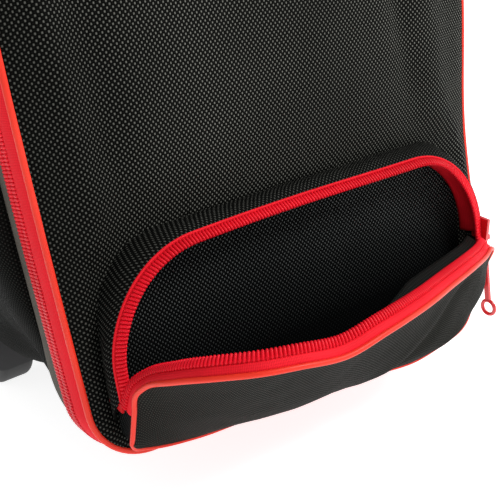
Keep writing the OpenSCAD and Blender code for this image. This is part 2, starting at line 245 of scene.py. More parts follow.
def smooth_plastic(name, base, light, rough, grain=300.0, depth=0.00008, **extra):
    """Moulded plastic or vinyl with slight colour drift and a fine surface grain."""
    n = Nodes(name)
    drift = n.ramp(n.noise(14.0, 3.0), [(0.35, (0, 0, 0)), (0.7, (1, 1, 1))])
    fine = n.noise(grain, 4.0, 0.6)
    roughness = n.plus(rough - 0.05, n.times(fine, 0.12))
    return n.finish(n.mix(drift, base, light), roughness, Normal=n.bump(fine, depth, 0.5),
                    **extra)


def metal(name, base, rough):
    """Bare metal whose gloss and colour vary finely."""
    n = Nodes(name)
    roughness = n.plus(rough, n.times(n.noise(900.0, 2.0), 0.25))
    color = n.mix(n.noise(30.0, 3.0), base, tuple(min(1.0, c * 1.25) for c in base))
    return n.finish(color, roughness, Metallic=1.0)


# The door's nylon has painted shade: darkest along its left edge, fading out towards the right.
NYLON = basket_weave("black_nylon", (0.0008, 0.0009, 0.0007), (0.172, 0.174, 0.153), rough=0.42,
                     spec=0.024, painted_shade_across=[(-135, 0.42), (-100, 0.72), (-50, 0.95), (20, 0.88),
                                        (70, 0.93), (105, 1.0), (135, 1.0)])
BAND_NYLON = basket_weave("black_nylon_band", (0.0010, 0.0011, 0.0009), (0.072, 0.073, 0.065))
SIDE_NYLON = basket_weave("black_nylon_side", (0.0030, 0.0032, 0.0028), (0.024, 0.025, 0.022),
                          pitch=(1.0, 1.1))
# The door's nylon behind the pocket, with painted shade darkening it towards the pocket's bottom.
SHADED_POCKET_NYLON = basket_weave("black_nylon_pocket_painted_shade", (0.0006, 0.0008, 0.0009),
                            (0.165, 0.175, 0.170), shade=(DOOR_Z0 + 22, DOOR_Z0 + 92))
# A darker copy of the door's nylon for the pocket's lower gusset, with the shade inside the pocket
# painted into it.
SHADED_NYLON_INSIDE = basket_weave("black_nylon_inside_painted_shade", (0.0006, 0.0008, 0.0009),
                            (0.066, 0.072, 0.071))
FLAP_NYLON = basket_weave("black_nylon_flap", (0.0085, 0.0085, 0.0075), (0.056, 0.056, 0.048),
                          pitch=(0.95, 1.05))
LINING = ribbed_cloth("dark_lining", (0.004, 0.005, 0.006), (0.016, 0.018, 0.02), pitch=0.8)
BINDING = ribbed_cloth("black_binding", (0.006, 0.006, 0.006), (0.035, 0.034, 0.031), pitch=1.1)
GREY_BAND = ribbed_cloth("grey_webbing", (0.045, 0.041, 0.035), (0.165, 0.150, 0.126), pitch=0.7,
                         rough=0.75)
RED_TAPE = ribbed_cloth("red_tape", (0.62, 0.006, 0.014), (0.86, 0.016, 0.030), pitch=0.7,
                        depth=0.0001, rough=0.6, spec=0.08)
RED_COIL = smooth_plastic("red_coil", (0.60, 0.003, 0.012), (0.80, 0.007, 0.022), 0.4,
                          Specular_IOR_Level=0.15)
RED_PIPING = smooth_plastic("red_vinyl", (0.72, 0.024, 0.010), (0.80, 0.036, 0.016), 0.4,
                            depth=0.00003, Specular_IOR_Level=0.25)
RED_METAL = smooth_plastic("red_enamel", (0.55, 0.008, 0.014), (0.66, 0.016, 0.02), 0.22,
                           Coat_Weight=0.5)
THREAD = ribbed_cloth("black_thread", (0.01, 0.01, 0.01), (0.07, 0.07, 0.065), pitch=0.4)
BLACK_PLASTIC = smooth_plastic("black_moulding", (0.012, 0.012, 0.013), (0.022, 0.022, 0.023),
                               0.5, grain=900.0, depth=0.00015)
GREY_PLASTIC = smooth_plastic("grey_moulding", (0.22, 0.225, 0.235), (0.3, 0.305, 0.315), 0.35)
TYRE = smooth_plastic("black_tyre", (0.012, 0.012, 0.012), (0.03, 0.03, 0.03), 0.62, grain=500.0)
ALUMINIUM = metal("aluminium", (0.55, 0.56, 0.58), 0.22)
STEEL = metal("zinc_steel", (0.48, 0.49, 0.51), 0.2)
FOAM = ribbed_cloth("foam_cover", (0.02, 0.02, 0.022), (0.06, 0.06, 0.065), pitch=1.4, rough=0.9)
BOARD = smooth_plastic("stiffener", (0.01, 0.01, 0.011), (0.018, 0.018, 0.019), 0.6)

# ---------------------------------------------------------------- mesh helpers


def put_in_scene(name, data):
    """A new object in the scene, from a mesh, a lamp or a camera."""
    holder = bpy.data.objects.new(name, data)
    bpy.context.scene.collection.objects.link(holder)
    return holder


def new_piece(name, vertices, faces, uvs, material, body):
    """A mesh object from arrays in the frame's metres, with UVs in metres, riding on a body."""
    mesh = bpy.data.meshes.new(name)
    mesh.from_pydata([tuple(v) for v in vertices], [], faces)
    if uvs is not None:
        layer = mesh.uv_layers.new(name="cloth")
        layer.data.foreach_set("uv", np.asarray(uvs, np.float32).ravel())
    mesh.materials.append(material)
    mesh.shade_smooth()
    mesh.validate()
    piece = put_in_scene(name, mesh)
    if body:
        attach(piece, body)
    return piece


def edit_mesh(piece, change):
    """Applies a function of a bmesh to a piece."""
    work = bmesh.new()
    work.from_mesh(piece.data)
    change(work)
    work.to_mesh(piece.data)
    work.free()


def turn_outward(piece):
    """Makes all face normals of a closed mesh point outwards."""
    edit_mesh(piece, lambda work: bmesh.ops.recalc_face_normals(work, faces=work.faces))


def weld(piece):
    """Joins vertices that lie in the same place, as where a sheet closes on its middle line."""
    edit_mesh(piece, lambda work: bmesh.ops.remove_doubles(work, verts=work.verts,
                                                           dist=0.2 * MM))


def declare(piece, replaced=None):
    """Hides the CAD node that a piece stands for, when one is given."""
    if replaced:
        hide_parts(replaced)


def sheet(name, rows, material, body, thickness, slot="nylon", replaced=None, fill=None,
          offset=0.0, lining=None, **shape):
    """A fabric sheet lofted over rows, with its thickness (all behind it where offset is -1), a
    lining on its inside, and the CAD node it replaces hidden."""
    piece = loft(name, rows, material, body, **shape)
    solid = piece.modifiers.new("thickness", "SOLIDIFY")
    solid.thickness, solid.offset = thickness * MM, offset
    if lining:
        piece.data.materials.append(lining)
        solid.material_offset = solid.material_offset_rim = 1
    declare(piece, replaced)
    return piece


def unit(rows):
    """Rows of vectors, or one vector, at length 1."""
    return rows / np.linalg.norm(rows, axis=-1, keepdims=True)


def upright(xz, y):
    """A row of 3-D points from pairs of x and z, all at depth y or at a depth each."""
    return np.stack([xz[:, 0], np.zeros(len(xz)) + y, xz[:, 1]], 1)


def middle_row(row, depth_at):
    """The row where a sheet's two sides meet: on the line x = 0, at shared heights."""
    z = np.round(row[:, 2] / 3.0) * 3.0
    return np.stack([z * 0, [depth_at(h) for h in z], z], 1)


def hump(t):
    """0 at 0 and at 1, and 1 halfway between."""
    return np.sin(math.pi * t)


def smoothstep(t):
    t = np.clip(t, 0, 1)
    return t * t * (3 - 2 * t)


def looped(points, closed):
    """The same points, with the first one again at the end if they are closed."""
    return np.vstack([points, points[:1]]) if closed else points


def lengths(points, closed=False):
    """Running length along a row of points, and round to the start again if it is closed."""
    steps = np.linalg.norm(np.diff(looped(points, closed), axis=0), axis=1)
    return np.concatenate([[0.0], np.cumsum(steps)])


def directions(points, closed=False):
    """Unit directions along a row of points."""
    if closed:
        return unit(np.roll(points, -1, 0) - np.roll(points, 1, 0))
    return unit(np.gradient(points, axis=0))


def loft(name, rows, material, body, closed_row=False, closed_side=False, uv_rows=None):
    """A skin over rows of points in the bag's millimetres. closed_row joins each row's ends, and
    closed_side joins the last row to the first, which makes a tube with caps or a ring."""
    rows = [np.asarray(r, float) for r in rows]
    count, total = len(rows[0]), len(rows)
    vertices = to_frame(np.vstack(rows))
    run = np.mean([lengths(r, closed_row) for r in rows], axis=0)
    middle = np.array([r[:: max(1, count // 12)] for r in rows])
    hop = np.linalg.norm(np.diff(looped(middle, closed_side), axis=0), axis=2).mean(axis=1)
    rise = np.concatenate([[0.0], np.cumsum(hop)])
    faces, uvs = [], []
    for i in range(total if closed_side else total - 1):
        for j in range(count if closed_row else count - 1):
            k, m = (j + 1) % count, (i + 1) % total
            faces.append((i * count + j, i * count + k, m * count + k, m * count + j))
            if uv_rows is None:
                uvs += [(run[j], rise[i]), (run[j + 1], rise[i]), (run[j + 1], rise[i + 1]),
                        (run[j], rise[i + 1])]
            else:
                uvs += [uv_rows[i][j], uv_rows[i][k], uv_rows[m][k], uv_rows[m][j]]
    if closed_side and not closed_row:
        first = [i * count for i in range(total)]
        faces += [first, [i + count - 1 for i in first[::-1]]]
        uvs += [(0.0, 0.0)] * (2 * total)
    piece = new_piece(name, vertices, faces, np.array(uvs) * MM, material, body)
    if closed_side:
        turn_outward(piece)
    return piece


def rounded(w, z0, z1, r_top, r_low, bulge=0.0, step=2.0):
    """Closed outline of (x, z) points: from the bottom's middle towards -x, up, over and down.
    bulge is how far its sides belly out at mid height."""
    half = w / 2
    points = []

    def line(a, b):
        count = max(1, int(math.dist(a, b) / step))
        points.extend(np.linspace(a, b, count, endpoint=False))

    def arc(cx, cz, r, start, stop):
        count = max(4, int(abs(math.radians(stop - start)) * r / step))
        for angle in np.radians(np.linspace(start, stop, count, endpoint=False)):
            points.append((cx + r * math.cos(angle), cz + r * math.sin(angle)))

    line((0, z0), (-half + r_low, z0))
    arc(-half + r_low, z0 + r_low, r_low, 270, 180)
    line((-half, z0 + r_low), (-half, z1 - r_top))
    arc(-half + r_top, z1 - r_top, r_top, 180, 90)
    line((-half + r_top, z1), (half - r_top, z1))
    arc(half - r_top, z1 - r_top, r_top, 90, 0)
    line((half, z1 - r_top), (half, z0 + r_low))
    arc(half - r_low, z0 + r_low, r_low, 0, -90)
    line((half - r_low, z0), (0, z0))
    out = np.array(points, float)
    rise = np.clip((out[:, 1] - z0) / (z1 - z0), 0, 1)
    out[:, 0] += bulge * hump(rise) * out[:, 0] / half
    pinch = np.exp(-((out[:, 1] - PINCH_Z) / PINCH_SPREAD) ** 2) * np.clip(out[:, 0] / half, 0, 1)
    out[:, 0] -= PINCH * bulge * pinch
    return out


def resample(points, count, closed=True):
    """The same row of points with a given count of even steps."""
    run, full = lengths(points, closed), looped(points, closed)
    where = np.linspace(0, run[-1], count, endpoint=not closed)
    return np.stack([np.interp(where, run, full[:, k]) for k in range(full.shape[1])], 1)


def outward(points, closed=True):
    """Unit normals of an (n, 2) outline that runs clockwise seen from the front, pointing out."""
    t = directions(points, closed)
    return np.stack([-t[:, 1], t[:, 0]], 1)


def ring_row(outline, normals, out, y):
    """A row of 3-D points: the outline moved outwards by out, at depth y."""
    return upright(outline + normals * np.reshape(out, (-1, 1)), y)


def smooth_noise(point, scale, seed=0.0):
    """Soft noise from -1 to 1 at a point in millimetres, with features about scale across."""
    x, y, z = (value / scale for value in point)
    return noise.noise(Vector((x + seed, y, z + seed)))


def tube(name, path, radius, material, body, closed=False, sides=14):
    """A round cord swept along 3-D points in the bag's millimetres."""
    path = np.asarray(path, float)
    t = directions(path, closed)
    up = np.zeros_like(t)
    up[0] = unit(np.cross(t[0], (0.3, 1.0, 0.2)))
    for i in range(1, len(path)):
        up[i] = unit(up[i - 1] - t[i] * np.dot(up[i - 1], t[i]))
    if closed:
        last = unit(up[-1] - t[0] * np.dot(up[-1], t[0]))
        twist = math.atan2(np.dot(np.cross(last, up[0]), t[0]), np.dot(last, up[0]))
        for i in range(len(path)):
            spin = Matrix.Rotation(twist * i / len(path), 3, Vector(t[i]))
            up[i] = spin @ Vector(up[i])
    across = np.cross(t, up)
    rows = []
    for angle in TURN * np.arange(sides) / sides:
        rows.append(path + radius * (math.cos(angle) * up + math.sin(angle) * across))
    return loft(name, rows, material, body, closed_row=closed, closed_side=True)


def rib_template(length, width, height, sides=8, rings=6):
    """A rounded rib lying along local x: vertices about the origin, and faces."""
    vertices, faces = [], []
    for i in range(rings + 1):
        a = math.pi * i / rings
        x = -math.cos(a) * length / 2
        shrink = min(1.0, math.sin(a) * 1.5 + 0.02)
        for k in range(sides):
            b = TURN * k / sides
            vertices.append((x, math.cos(b) * width / 2 * shrink,
                             math.sin(b) * height / 2 * shrink))
    for i in range(rings):
        for k in range(sides):
            a, b = i * sides + k, i * sides + (k + 1) % sides
            faces.append((a, b, b + sides, a + sides))
    faces.append(tuple(range(sides - 1, -1, -1)))
    faces.append(tuple(rings * sides + k for k in range(sides)))
    return np.array(vertices), faces


def repeat(name, template, places, material, body):
    """Copies of a template at places (origin, x axis, y axis, z axis), all in millimetres."""
    base, base_faces = template
    vertices, faces = [], []
    for origin, x_axis, y_axis, z_axis in places:
        start = len(vertices) * len(base)
        vertices.append(origin + base[:, :1] * x_axis + base[:, 1:2] * y_axis
                        + base[:, 2:] * z_axis)
        faces += [tuple(start + k for k in face) for face in base_faces]
    piece = new_piece(name, to_frame(np.vstack(vertices)), faces, None, material, body)
    turn_outward(piece)
    return piece


def coil_places(path, across, up, lean, offset=0.0, step=TOOTH_STEP):
    """Where the teeth of a coil stand along a path. Each lies across it, slanted by lean."""
    run = lengths(path)
    places = []
    for s in np.arange(step * (0.5 + offset), run[-1], step):
        point, a, u = (np.array([np.interp(s, run, arr[:, k]) for k in range(3)])
                       for arr in (path, across, up))
        a = unit(a)
        u = unit(u - a * np.dot(a, u))
        along = np.cross(u, a)
        x_axis = a * math.cos(lean) + along * math.sin(lean)
        places.append((point, x_axis, np.cross(u, x_axis), u))
    return places

# ---------------------------------------------------------------- door


def door_outline(inset=0.0, count=420):
    """The door's outline at a distance inside its piping, evenly stepped."""
    r = max(DOOR_R - inset, 6.0)
    points = rounded(DOOR_W - 2 * inset, DOOR_Z0 + inset, DOOR_Z1 - inset, r, r, BULGE)
    return resample(points, count)


POCKET_W, POCKET_TOP, POCKET_R = 245.0, DOOR_Z0 + 108.6, 36.0


def outside_pocket(x, z):
    """Distance from a door point to the pocket band's outline, negative inside the pocket."""
    half = POCKET_W / 2 - POCKET_R
    dx = max(abs(x) - half, 0.0)
    dz = max(z - (POCKET_TOP - POCKET_R), 0.0)
    if dx > 0 and dz > 0:
        return math.hypot(dx, dz) - POCKET_R
    return max(abs(x) - POCKET_W / 2, z - POCKET_TOP)


def soft_ridge(x, z, start, end, width, height):
    """A long soft fold from start to end, fading at both ends."""
    a, b = np.array(start, float), np.array(end, float)
    t = np.dot((x, z) - a, b - a) / np.dot(b - a, b - a)
    if not -0.3 < t < 1.3:
        return 0.0
    off = (np.array((x, z)) - a) - t * (b - a)
    fade = min(1.0, max(0.0, (t + 0.3) / 0.4), max(0.0, (1.3 - t) / 0.4))
    return height * fade * math.exp(-np.dot(off, off) / width ** 2)


DOOR_FOLDS = [                                    # start, end, width and height of soft folds
    ((-124, 300), (-116, 150), 7, 2.6), ((-106, 300), (-103, 150), 11, -3.0),
    ((60, 340), (79, 186), 8, -3.4), ((88, 330), (103, 165), 11, 3.0),
    ((-128, 141), (-106, 122), 4, 1.8), ((-127, 129), (-112, 112), 4, -1.6),
    ((-130, 104), (-114, 92), 4, 1.4), ((-128, 74), (-113, 60), 4, 1.4),
    ((-20, 330), (60, 190), 34, 1.8), ((-60, 300), (-10, 160), 26, -1.2),
    ((96, 150), (122, 136), 8, 1.4)]


RIM, DOME = 1.8, 8.5      # how far the door's face stands out at its edge and in its padded middle


def door_height(x, z, edge):
    """How far the padded face stands forward at a point, edge being its distance to the piping."""
    pocket = outside_pocket(x, z)
    rim = RIM * (1 - math.exp(-edge / 3.5))
    if pocket <= 0:
        return rim * math.exp(pocket / 6)
    free = min(edge, pocket)
    dome = DOME * (1 - math.exp(-max(free - 1.0, 0.0) / 26))
    folds = sum(soft_ridge(x, z, *fold) for fold in DOOR_FOLDS) * (1 - math.exp(-free / 12))
    pucker = 0.35 * math.sin((x + z) / 4.7) * math.exp(-edge / 5)
    slack = 0.7 * smooth_noise((x, 0, z), 38) + 0.25 * smooth_noise((x, 9, z), 13)
    return rim + dome + folds + (pucker + slack) * min(1.0, edge / 8)


def door_face():
    """The front of the door: one padded sheet from piping to piping, flat behind the pocket."""
    rows = []
    for inset in np.concatenate([np.linspace(0.6, 12, 7), np.linspace(15, DOOR_W / 2 - 7, 36)]):
        outline = door_outline(inset)
        rows.append(np.array([(x, -door_height(x, z, inset) + 0.4, z) for x, z in outline]))
    rows.append(middle_row(rows[-1], lambda z: -door_height(0.0, z, DOOR_W / 2) + 0.4))
    piece = sheet("door_face", rows, NYLON, "door", 1.6, replaced="front_panel", fill=0.4,
                  offset=-1.0, closed_row=True, uv_rows=[row[:, ::2] for row in rows])
    weld(piece)
    piece.data.materials.append(SHADED_POCKET_NYLON)
    for face in piece.data.polygons:
        x, z = face.center[0] / MM, face.center[2] / MM
        face.material_index = int(outside_pocket(x, z) < -4)


door_face()
declare(tube("door_piping", upright(door_outline(0.3), -0.6), CORD_R, RED_PIPING, "door",
             closed=True), "front_piping")

# ---------------------------------------------------------------- accessory pocket

ZIP_STRIP = 7.0           # width of the upper zip's tape and coil
FLAP_STRIP = 8.6          # the same for the flap's zip, which curls
ZIP_W, ZIP_TOP, ZIP_R = 251.0, DOOR_Z0 + 104.7, 53.0   # outline of the pocket's opening
BAND_DEPTH = 14.4         # how far the soft band stands out at its top
END_Y, END_Z = -15.0, DOOR_Z0 + 37.0                   # where the pocket's zip ends


def pocket_arch(w, top, r, low, count=220):
    """An open outline in x and z: up the left from low, over the top and down the right."""
    full = rounded(w, low - 40, top, r, 5, 0.0, 1.0)
    return resample(full[full[:, 1] >= low], count, closed=False)


def rise_from_end(z, span=46.0):
    """0 at the zip's ends and 1 well above them, smoothly."""
    return smoothstep((z - END_Z) / span)


def upper_lip(count=220):
    """The line where the band meets the upper zip, in 3-D, and its outward directions."""
    arch = pocket_arch(ZIP_W, ZIP_TOP, ZIP_R, END_Z, count)
    out = outward(arch, closed=False)
    climb = rise_from_end(arch[:, 1])
    sag = 1.6 * np.sin(np.linspace(0, 9.5, count) + 0.6) * climb
    depth = END_Y * (1 - climb) - (BAND_DEPTH + 0.5 * sag) * climb
    normal = upright(out, 0.0)
    return upright(arch, depth) - 0.35 * sag[:, None] * normal, normal


def pocket_band():
    """The soft strip from the door's face out to the upper zip, slumping between them."""
    line, normal = upper_lip()
    base_xz = pocket_arch(POCKET_W + 1, POCKET_TOP, POCKET_R + 2, DOOR_Z0 + 20.0)
    rows = []
    for t in np.linspace(0, 1, 14):
        row = []
        for k, (x, z) in enumerate(base_xz):
            foot = np.array([x, -door_height(x, z, 12.0) + 1.5 if t == 0 else 0.0, z])
            lean = t + 0.18 * hump(t)
            point = foot * (1 - lean) + line[k] * lean
            belly = 2.6 * hump(t) * (0.7 + 0.3 * smooth_noise(point, 22))
            rumple = 0.5 * smooth_noise(point, 8, 3.0) * hump(t)
            row.append(point + normal[k] * (belly + rumple))
        rows.append(np.array(row))
    rows.append(line - normal * 1.2 + (0, 1.0, 0))
    sheet("pocket_band_cloth", rows, BAND_NYLON, "door", 1.4, replaced="pocket_band")
    seam = np.array([(x, -door_height(x, z, 12.0) + 0.5, z) for x, z in base_xz])
    declare(tube("pocket_band_welt", seam + normal * 0.9, 1.3, BAND_NYLON, "door"))


def coil_zip(name, rows, crest, across, up, rib, lean, body, replaced, offset=0.0):
    """Half of a zip: its woven tape over rows, and its row of coil teeth along a crest."""
    woven = loft(name + "_tape", rows, RED_TAPE, body, closed_side=True)
    teeth = repeat(name + "_coil", rib_template(*rib),
                   coil_places(crest, across, up, lean, offset), RED_COIL, body)
    declare(woven, replaced)
    declare(teeth)
    return woven, teeth


def zip_half(name, line, into, face, body, replaced, reach, coil, flip=1.0):
    """One half of an open coil zip: a folded tape along a line and its coil at the free edge.
    into points from the line to the teeth, face is the side where the coil shows."""
    into, face = unit(into), unit(face)
    tape = reach - coil
    profile = [(0.0, 0.1), (0.3, 0.6), (tape * 0.4, 0.85), (tape * 0.8, 0.8), (tape - 0.3, 0.55),
               (tape + 0.1, 0.15), (tape + 0.6, 0.5), (reach - 1.5, 0.5), (reach - 0.4, 0.1),
               (reach - 0.4, -0.5), (tape, -0.6), (0.0, -0.5)]
    return coil_zip(name, [line + into * c + face * h for c, h in profile],
                    line + into * (reach - coil / 2) + face * 0.55, into, face,
                    (coil + 0.3, 1.5, 2.0), 0.12 * flip, body, replaced)


def inner_tape(line, normal):
    """The back of the zip's tape, which shows inside the pocket on the right."""
    first, last = 166, 214          # places along the line
    part = slice(first, last)
    place = np.arange(last - first)
    rows = []
    for t in np.linspace(0, 1, 8):
        wave = 0.8 * np.sin(place / 6.5) * hump(t)
        deep = 1.0 + 11.0 * t * smoothstep((place + 4) / 16)
        rows.append(line[part] - normal[part] * (3.0 + 1.5 * t + wave[:, None])
                    + deep[:, None] * np.array([0.0, 1.0, 0.0]))
    sheet("pocket_inner_tape", rows, RED_TAPE, "door", 0.8, slot="red_zip")


upper_line, upper_out = upper_lip()
# The upper zip curls in over the opening, most of all on the right.
curl = (0.8 + 0.55 * smoothstep((upper_line[:, 0] - 84) / 32))[:, None]
forward = np.zeros_like(upper_line) + (0.0, -1.0, 0.0)
zip_half("pocket_zip_upper_half", upper_line, forward * np.cos(curl) - upper_out * np.sin(curl),
         upper_out * np.cos(curl) + forward * np.sin(curl), "door", "pocket_zip_upper", ZIP_STRIP,
         5.2)
inner_tape(upper_line, upper_out)
pocket_band()

# ---------------------------------------------------------------- open flap of the pocket

FLAP_W, FLAP_H, FLAP_R, FLAP_LOW_R = 250.0, 98.0, 48.0, 14.0
# The flap hangs open like a mouth. Both lines run from its lower left corner to its lower right.
LIP = [(-124, -15, 16), (-124, -20, 26), (-124, -25, 36), (-124, -31, 47), (-122.5, -38, 52.5),
       (-119, -60, 61), (-110, -80, 65.5), (-97, -92, 66), (-82, -97, 64.5), (-58, -98, 60),
       (-34, -97, 61.3), (-3, -90, 60.2), (32, -75, 55.7), (65, -60, 50.8), (97, -42, 44.2),
       (117, -29, 40.2), (123.5, -24, 36), (114, -23, 26), (104, -27, 24.5), (95, -33, 23)]
LOWER = [(-124, -15, 16), (-121.5, -12, 11.5), (-115, -10.5, 8.3), (-108, -12, 6.8),
         (-90, -16.5, 5.3), (-60, -21, 5), (-25, -26, 5), (8, -37, 5.5), (31, -46, 7),
         (46, -51, 12), (63, -49.5, 14), (76, -44, 16), (86, -38, 20), (95, -33, 23)]


def smooth_path(points, count):
    """A smooth curve through a few points, evenly stepped along its length."""
    p = np.asarray(points, float)
    run = lengths(p)
    slope = np.gradient(p, run, axis=0)
    fine = []
    for i in range(len(p) - 1):
        h = run[i + 1] - run[i]
        for t in np.linspace(0, 1, 24, endpoint=False):      # Hermite's four weights
            a, b = 2 * t ** 3 - 3 * t ** 2 + 1, t ** 3 - 2 * t ** 2 + t
            c, d = -2 * t ** 3 + 3 * t ** 2, t ** 3 - t ** 2
            fine.append(a * p[i] + b * h * slope[i] + c * p[i + 1] + d * h * slope[i + 1])
    fine.append(p[-1])
    return resample(np.array(fine), count, closed=False)


def above_floor(points):
    """Points given from the door's lower piping, moved to heights above the floor."""
    return np.asarray(points, float) + (0, 0, DOOR_Z0)


COLUMNS = 260
lip_line = smooth_path(above_floor(LIP), COLUMNS)
lower_line = smooth_path(above_floor(LOWER), COLUMNS)
flat_outline = rounded(FLAP_W, 0, FLAP_H, FLAP_R, FLAP_LOW_R, 0.0, 1.0)
corner_at = np.argmin(np.abs(flat_outline[:, 1] - FLAP_LOW_R) + (flat_outline[:, 0] > 0) * 999)
flat_top = np.roll(flat_outline, -corner_at, 0)
flat_top = resample(flat_top[flat_top[:, 1] >= FLAP_LOW_R], COLUMNS, closed=False)
flat_low = flat_outline[flat_outline[:, 1] < FLAP_LOW_R]
flat_low = resample(flat_low[np.argsort(flat_low[:, 0])], COLUMNS, closed=False)


def flap_rows(steps=30):
    """Rows of the face from its lower edge to its lip, with their flat places and normals."""
    across = np.linspace(0, 1, COLUMNS)
    ahead = np.gradient(lip_line, axis=0)
    rise = lip_line - lower_line
    normal = np.cross(rise, ahead)
    normal /= np.maximum(np.linalg.norm(normal, axis=1), 1e-6)[:, None]
    normal *= -np.sign(normal[:, 2] + 1e-9)[:, None]
    normal[0], normal[-1] = normal[2], normal[-3]
    for _ in range(30):
        normal[1:-1] = (normal[:-2] + normal[1:-1] + normal[2:]) / 3
    normal = unit(normal)
    belly = 1.2 + 6.3 * hump(across) ** 1.5
    rows, flat = [], []
    for v in np.linspace(0, 1, steps):
        swell = 6.75 * v * (1 - v) ** 2 * belly
        point = lower_line * (1 - v) + lip_line * v
        inside = min(1.0, 6 * v, 6 * (1 - v))
        rumple = np.array([0.9 * smooth_noise(p, 30, 5.0) + 0.35 * smooth_noise(p, 11, 8.0)
                           for p in point]) * inside
        pull = np.exp(-((across - 0.80) / 0.10) ** 2)
        rumple += pull * 1.7 * np.sin(v * 8.0 + across * 26.0) * inside
        crease = across - 0.54 - 0.2 * v
        rumple += (1.3 * np.exp(-((crease + 0.05) / 0.035) ** 2)
                   - 2.2 * np.exp(-(crease / 0.03) ** 2)) * inside
        rows.append(point + normal * (swell + rumple)[:, None])
        flat.append(flat_low * (1 - v) + flat_top * v)
    return rows, flat, normal


face_rows, face_flat, face_out = flap_rows()


def bend(piece):
    """Bakes a piece's placement into its mesh."""
    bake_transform(piece)


bend(sheet("pocket_flap_face", face_rows, FLAP_NYLON, None, 1.6, replaced="pocket_front",
           uv_rows=face_flat))
edge_loop = np.vstack([lip_line[:-1], lower_line[::-1][:-1]])
edge_out = np.vstack([face_out[:-1], face_out[::-1][:-1]])
cord = tube("pocket_flap_piping", edge_loop + edge_out * 0.5, 1.25, RED_PIPING, None, closed=True,
            sides=12)
declare(cord, "pocket_piping")
bend(cord)

start, stop = 13, 238                               # columns where the flap's zip begins and ends
zip_line = lip_line[start:stop] - face_out[start:stop] * 0.5
straight_in = -face_out[start:stop]


def zip_facing(into, towards):
    """Where the coil of the flap's zip shows: square to the zip, and turned towards a side."""
    face = unit(np.cross(np.gradient(lip_line, axis=0)[start:stop], into))
    return face * np.sign(np.sum(face * towards, axis=1))[:, None]


straight_face = zip_facing(straight_in, (lip_line - lower_line)[start:stop])
# From the flap's middle to its right end the zip leans back to the bag, whichever way the cloth
# beside it faces.
LEAN_FROM, LEAN_OVER, TO_BAG = 85, 60, np.array([-0.08, 0.83, 0.55])
lean_back = smoothstep((np.arange(stop - start) - LEAN_FROM) / LEAN_OVER)[:, None]
zip_into = unit(straight_in * (1 - lean_back) + TO_BAG * lean_back)
zip_face = zip_facing(zip_into, straight_face)
for half in zip_half("pocket_zip_lower_half", zip_line, zip_into, zip_face, None,
                     "pocket_zip_lower", FLAP_STRIP, 4.4, flip=-1.0):
    bend(half)


def flap_facing():
    """The black edge of the pocket's lining, which shows behind the flap's zip on the right."""
    shows_from, shows_over, most = 102, 35, 9.0      # columns, and how far it stands past the zip
    proud = most * smoothstep((np.arange(stop - start) - shows_from) / shows_over)[:, None]
    foot = zip_line + zip_into * 1.0 - zip_face * 2.2
    edge = (zip_line + zip_into * (FLAP_STRIP - 0.6) - zip_face * 1.2
            + zip_into * proud * 0.8 - zip_face * proud * 0.25)
    rows = [foot * (1 - t) + edge * t for t in np.linspace(0, 1, 8)]
    bend(sheet("pocket_flap_lining", rows, SIDE_NYLON, None, 0.9))


flap_facing()


def lower_gusset():
    """The soft strip between the flap's lower edge and the door, below the ends of the zip."""
    edge = np.vstack([lip_line[start + 2::-1], lower_line[1:-1], lip_line[:stop - 3:-1]])
    edge = resample(edge, 240, closed=False)
    seat = rounded(POCKET_W - 1, DOOR_Z0 + 4, POCKET_TOP, 30, 16, 0.0, 1.0)
    seat = seat[seat[:, 1] <= END_Z + 1]
    seat = seat[np.argsort(np.arctan2(seat[:, 0], DOOR_Z0 + 120 - seat[:, 1]))]
    seat = resample(seat, 240, closed=False)
    rows = []
    for t in np.linspace(0, 1, 10):
        line = edge * (1 - t) + upright(seat, 0.6) * t
        dip = np.array([1.6 * smooth_noise(p, 16, 2.0) for p in line]) * hump(t)
        line[:, 2] += dip * 0.6
        line[:, 0] -= np.sign(line[:, 0]) * hump(t) * 1.2
        rows.append(line)
    bend(sheet("pocket_lower_gusset", rows, SHADED_NYLON_INSIDE, None, 1.2, replaced="pocket_gusset"))


lower_gusset()

# ---------------------------------------------------------------- main zip, walls and back

COUNT = 480
body_edge = resample(rounded(BODY_W - 2, DOOR_Z0, DOOR_Z1, DOOR_R, DOOR_R, BULGE), COUNT)
body_out = outward(body_edge)
HINGE_LOW, HINGE_HIGH = DOOR_Z0 + 40, DOOR_Z1 - 40
on_hinge = (body_edge[:, 0] > 60) & (body_edge[:, 1] > HINGE_LOW) & (body_edge[:, 1] < HINGE_HIGH)
hinge_at = np.flatnonzero(on_hinge)
zip_run = np.roll(np.arange(COUNT), -(hinge_at[-1] + 1))[:COUNT - len(hinge_at)]


def edge_rows(index, profile):
    """Rows along part of the side outline; profile lists (how far out, depth y)."""
    return [ring_row(body_edge[index], body_out[index], out, y) for out, y in profile]


def main_zip(name, body, profile, coil_mid, shift, replaced):
    """One half of the door's zip, on the side of the bag."""
    inner = [(-1.4, profile[-1][1]), (-1.4, profile[0][1])]
    up = upright(body_out[zip_run], 0.0)
    coil_zip(name, edge_rows(zip_run, profile + inner), edge_rows(zip_run, [coil_mid])[0],
             np.zeros_like(up) + (0.0, 1.0, 0.0), up, (COIL + 0.5, 2.0, 1.5), 0.10, body,
             replaced, shift)


# Profiles of the main zip's tapes: how far out of the side outline, and depth.
FRONT_TAPE = [(-1.0, 0.9), (-0.2, 1.6), (0.6, 3.2), (1.5, 6.0), (2.0, 9.5), (2.1, 10.6),
              (1.2, 11.0), (1.7, 11.4), (1.7, 16.3)]
REAR_TAPE = [(1.6, 16.9), (1.6, 22.0), (0.9, 22.4), (1.1, 22.8), (0.9, FRAME_Y0 - 0.2)]
main_zip("main_zip_front_half", "door", FRONT_TAPE, (1.9, 13.7), 0.0, "main_zip_front")
main_zip("main_zip_rear_half", "shell", REAR_TAPE, (1.8, 19.5), 0.5, "main_zip_rear")


